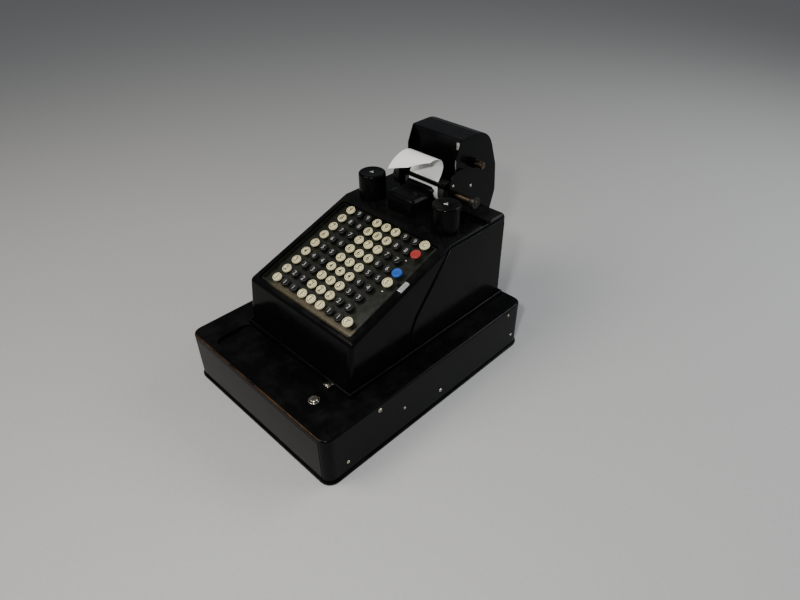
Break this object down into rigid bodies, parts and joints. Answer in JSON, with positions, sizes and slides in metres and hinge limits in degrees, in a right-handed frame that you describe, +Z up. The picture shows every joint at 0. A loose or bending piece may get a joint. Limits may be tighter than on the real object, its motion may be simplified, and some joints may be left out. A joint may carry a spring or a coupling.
{
  "type": "desk calculator",
  "caption": "Full-keyboard desk adding machine with printing unit and paper hood, standing on a cash-drawer base.",
  "frame": {"origin": "centre of the base plate's underside", "axes": "+Z up, +Y from the keyboard to the rear, +X to the operator's right"},
  "size_m": [0.3164, 0.4533, 0.331],
  "materials": {
    "black_enamel": "gloss",
    "green_enamel": "satin",
    "ivory_keys": "gloss",
    "black_keys": "gloss",
    "red_key": "gloss",
    "blue_key": "gloss",
    "steel": "satin",
    "dark_steel": "satin",
    "nickel": "polished",
    "aged_brass": "tarnished",
    "platen_rubber": "matte",
    "paper": "matte"
  },
  "bodies": {
    "machine": {"base_cover": "black_enamel", "base_plate": "black_enamel", "drawer_runner_left": "steel", "drawer_runner_right": "steel", "drive_motor": "dark_steel", "hood_panel": "black_enamel", "hood_shell": "black_enamel", "key_guide_plate": "steel", "keyboard_plate": "green_enamel", "machine_case": "black_enamel", "machine_pan": "black_enamel", "paper_tape": "paper", "platen_ear_left": "black_enamel", "platen_ear_right": "black_enamel", "ribbon_cover_left": "black_enamel", "ribbon_cover_right": "black_enamel", "side_cover_left": "black_enamel", "side_cover_right": "black_enamel", "side_frame_left": "steel", "side_frame_right": "steel", "type_comb": "steel", "type_guard": "black_enamel"},
    "drawer": {"drawer_front": "black_enamel", "drawer_box": "steel", "coin_tray": "dark_steel", "note_tray": "dark_steel"},
    "lock": {"lock_barrel": "nickel"},
    "key_bank_1": {"key_bank_1": "ivory_keys"},
    "key_bank_2": {"key_bank_2": "black_keys"},
    "key_bank_3": {"key_bank_3": "black_keys"},
    "key_bank_4": {"key_bank_4": "ivory_keys"},
    "key_bank_5": {"key_bank_5": "ivory_keys"},
    "key_bank_6": {"key_bank_6": "ivory_keys"},
    "key_bank_7": {"key_bank_7": "black_keys"},
    "key_bank_8": {"key_bank_8": "black_keys"},
    "total_key": {"total_key": "ivory_keys"},
    "subtotal_key": {"subtotal_key": "ivory_keys"},
    "non_add_key": {"non_add_key": "blue_key"},
    "subtract_key": {"subtract_key": "red_key"},
    "clear_key": {"clear_key": "ivory_keys"},
    "repeat_tab": {"repeat_tab": "nickel"},
    "main_shaft": {"main_shaft": "steel"},
    "register": {"register": "steel"},
    "type_bar_1": {"type_bar_1": "steel"},
    "type_bar_2": {"type_bar_2": "steel"},
    "type_bar_3": {"type_bar_3": "steel"},
    "type_bar_4": {"type_bar_4": "steel"},
    "type_bar_5": {"type_bar_5": "steel"},
    "type_bar_6": {"type_bar_6": "steel"},
    "type_bar_7": {"type_bar_7": "steel"},
    "type_bar_8": {"type_bar_8": "steel"},
    "ribbon_spool_left": {"ribbon_spool_left": "dark_steel"},
    "ribbon_spool_right": {"ribbon_spool_right": "dark_steel"},
    "platen": {"platen_roller": "platen_rubber", "platen_shaft": "aged_brass"},
    "tear_bar": {"tear_bar": "black_enamel"},
    "release_lever": {"release_lever": "black_enamel"},
    "hood_lid": {"hood_lid": "black_enamel"},
    "paper_supply": {"supply_roll": "paper", "roll_spindle": "aged_brass"}
  },
  "joints": [
    {"name": "drawer_slide", "type": "slide", "parent": "machine", "child": "drawer", "axis": [0, -1, 0], "range_m": [0, 0.25]},
    {"name": "lock_turn", "type": "hinge", "parent": "machine", "child": "lock", "pos_m": [0.0845, -0.1613, 0.083], "axis": [0, 0, 1], "range_deg": [0, 90]},
    {"name": "key_bank_1_press", "type": "slide", "parent": "machine", "child": "key_bank_1", "axis": [0, 0.3297, -0.9441], "range_m": [0, 0.0032], "stiffness_N_per_m": 350, "springref_m": -0.002},
    {"name": "key_bank_2_press", "type": "slide", "parent": "machine", "child": "key_bank_2", "axis": [0, 0.3297, -0.9441], "range_m": [0, 0.0032], "stiffness_N_per_m": 350, "springref_m": -0.002},
    {"name": "key_bank_3_press", "type": "slide", "parent": "machine", "child": "key_bank_3", "axis": [0, 0.3297, -0.9441], "range_m": [0, 0.0032], "stiffness_N_per_m": 350, "springref_m": -0.002},
    {"name": "key_bank_4_press", "type": "slide", "parent": "machine", "child": "key_bank_4", "axis": [0, 0.3297, -0.9441], "range_m": [0, 0.0032], "stiffness_N_per_m": 350, "springref_m": -0.002},
    {"name": "key_bank_5_press", "type": "slide", "parent": "machine", "child": "key_bank_5", "axis": [0, 0.3297, -0.9441], "range_m": [0, 0.0032], "stiffness_N_per_m": 350, "springref_m": -0.002},
    {"name": "key_bank_6_press", "type": "slide", "parent": "machine", "child": "key_bank_6", "axis": [0, 0.3297, -0.9441], "range_m": [0, 0.0032], "stiffness_N_per_m": 350, "springref_m": -0.002},
    {"name": "key_bank_7_press", "type": "slide", "parent": "machine", "child": "key_bank_7", "axis": [0, 0.3297, -0.9441], "range_m": [0, 0.0032], "stiffness_N_per_m": 350, "springref_m": -0.002},
    {"name": "key_bank_8_press", "type": "slide", "parent": "machine", "child": "key_bank_8", "axis": [0, 0.3297, -0.9441], "range_m": [0, 0.0032], "stiffness_N_per_m": 350, "springref_m": -0.002},
    {"name": "total_key_press", "type": "slide", "parent": "machine", "child": "total_key", "axis": [0, 0.3297, -0.9441], "range_m": [0, 0.0032], "stiffness_N_per_m": 250, "springref_m": -0.002},
    {"name": "subtotal_key_press", "type": "slide", "parent": "machine", "child": "subtotal_key", "axis": [0, 0.3297, -0.9441], "range_m": [0, 0.0032], "stiffness_N_per_m": 250, "springref_m": -0.002},
    {"name": "non_add_key_press", "type": "slide", "parent": "machine", "child": "non_add_key", "axis": [0, 0.3297, -0.9441], "range_m": [0, 0.0032], "stiffness_N_per_m": 250, "springref_m": -0.002},
    {"name": "subtract_key_press", "type": "slide", "parent": "machine", "child": "subtract_key", "axis": [0, 0.3297, -0.9441], "range_m": [0, 0.0032], "stiffness_N_per_m": 250, "springref_m": -0.002},
    {"name": "clear_key_press", "type": "slide", "parent": "machine", "child": "clear_key", "axis": [0, 0.3297, -0.9441], "range_m": [0, 0.0032], "stiffness_N_per_m": 250, "springref_m": -0.002},
    {"name": "repeat_tab_slide", "type": "slide", "parent": "machine", "child": "repeat_tab", "axis": [0, 0.9441, 0.3297], "range_m": [0, 0.008]},
    {"name": "main_shaft_turn", "type": "hinge", "parent": "machine", "child": "main_shaft", "pos_m": [0, 0.026, 0.119], "axis": [1, 0, 0], "continuous": true},
    {"name": "register_turn", "type": "hinge", "parent": "machine", "child": "register", "pos_m": [0, 0.082, 0.167], "axis": [1, 0, 0], "continuous": true},
    {"name": "type_bar_1_rise", "type": "slide", "parent": "machine", "child": "type_bar_1", "axis": [0, 0, 1], "range_m": [0, 0.027]},
    {"name": "type_bar_2_rise", "type": "slide", "parent": "machine", "child": "type_bar_2", "axis": [0, 0, 1], "range_m": [0, 0.027]},
    {"name": "type_bar_3_rise", "type": "slide", "parent": "machine", "child": "type_bar_3", "axis": [0, 0, 1], "range_m": [0, 0.027]},
    {"name": "type_bar_4_rise", "type": "slide", "parent": "machine", "child": "type_bar_4", "axis": [0, 0, 1], "range_m": [0, 0.027]},
    {"name": "type_bar_5_rise", "type": "slide", "parent": "machine", "child": "type_bar_5", "axis": [0, 0, 1], "range_m": [0, 0.027]},
    {"name": "type_bar_6_rise", "type": "slide", "parent": "machine", "child": "type_bar_6", "axis": [0, 0, 1], "range_m": [0, 0.027]},
    {"name": "type_bar_7_rise", "type": "slide", "parent": "machine", "child": "type_bar_7", "axis": [0, 0, 1], "range_m": [0, 0.027]},
    {"name": "type_bar_8_rise", "type": "slide", "parent": "machine", "child": "type_bar_8", "axis": [0, 0, 1], "range_m": [0, 0.027]},
    {"name": "ribbon_spool_left_turn", "type": "hinge", "parent": "machine", "child": "ribbon_spool_left", "pos_m": [-0.064, 0.093, 0.24], "axis": [0, 0, 1], "continuous": true},
    {"name": "ribbon_spool_right_turn", "type": "hinge", "parent": "machine", "child": "ribbon_spool_right", "pos_m": [0.084, 0.093, 0.24], "axis": [0, 0, 1], "continuous": true},
    {"name": "platen_turn", "type": "hinge", "parent": "machine", "child": "platen", "pos_m": [0, 0.149, 0.2515], "axis": [1, 0, 0], "continuous": true},
    {"name": "tear_bar_lift", "type": "hinge", "parent": "machine", "child": "tear_bar", "pos_m": [0, 0.16, 0.2685], "axis": [-1, 0, 0], "range_deg": [0, 30]},
    {"name": "release_lever_swing", "type": "hinge", "parent": "machine", "child": "release_lever", "pos_m": [0.0733, 0.147, 0.23], "axis": [0, 0, 1], "range_deg": [-15, 15]},
    {"name": "hood_lid_open", "type": "hinge", "parent": "machine", "child": "hood_lid", "pos_m": [0, 0.1943, 0.3313], "axis": [-1, 0, 0], "range_deg": [0, 105]},
    {"name": "paper_supply_turn", "type": "hinge", "parent": "machine", "child": "paper_supply", "pos_m": [0, 0.188, 0.289], "axis": [1, 0, 0], "continuous": true}
  ],
  "couplings": [
    {"joint": "ribbon_spool_right_turn", "follows": "ribbon_spool_left_turn", "ratio": 1}
  ]
}
